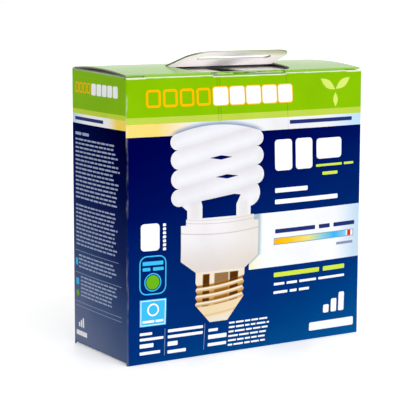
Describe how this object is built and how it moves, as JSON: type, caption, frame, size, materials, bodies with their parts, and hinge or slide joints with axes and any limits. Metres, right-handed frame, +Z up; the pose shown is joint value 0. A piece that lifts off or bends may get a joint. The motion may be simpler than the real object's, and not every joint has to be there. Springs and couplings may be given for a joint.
{
  "type": "light bulb carton",
  "caption": "Folding carton for spiral lamps, with a tuck lid hinged at the back and a pop-up hang tab with a slot.",
  "frame": {"origin": "middle of the bottom panel, on the surface the carton stands on", "axes": "+X along the front panel to its right, -Y out of the front panel, +Z up from the bottom to the lid"},
  "size_m": [0.1242, 0.0568, 0.1319],
  "materials": {
    "carton_board": "uncoated grey-white board",
    "green_ink": "gloss print",
    "stripe_ink": "gloss print",
    "cream_ink": "gloss print",
    "navy_ink": "gloss print",
    "white_ink": "gloss print",
    "scale_ink": "gloss print",
    "red_ink": "gloss print",
    "glass_ink": "gloss print",
    "housing_ink": "gloss print",
    "cap_ink": "gloss print"
  },
  "bodies": {
    "carton": {"carton_body": "carton_board", "print_green": "green_ink", "print_stripe": "stripe_ink", "print_cream": "cream_ink", "print_navy": "navy_ink", "print_panel": "white_ink", "print_scale": "scale_ink", "print_marker": "red_ink", "picture_glass": "glass_ink", "picture_housing": "housing_ink", "picture_cap": "cap_ink"},
    "lid": {"lid": "carton_board", "lid_print": "green_ink"},
    "hang_tab": {"hang_tab": "carton_board", "hang_tab_print": "green_ink"}
  },
  "joints": [
    {"name": "lid_fold", "type": "hinge", "parent": "carton", "child": "lid", "pos_m": [0, 0.02415, 0.12395], "axis": [-1, 0, 0], "range_deg": [0, 180]},
    {"name": "hang_tab_fold", "type": "hinge", "parent": "lid", "child": "hang_tab", "pos_m": [0, 0.0006, 0.12445], "axis": [-1, 0, 0], "range_deg": [-22, 72]}
  ]
}
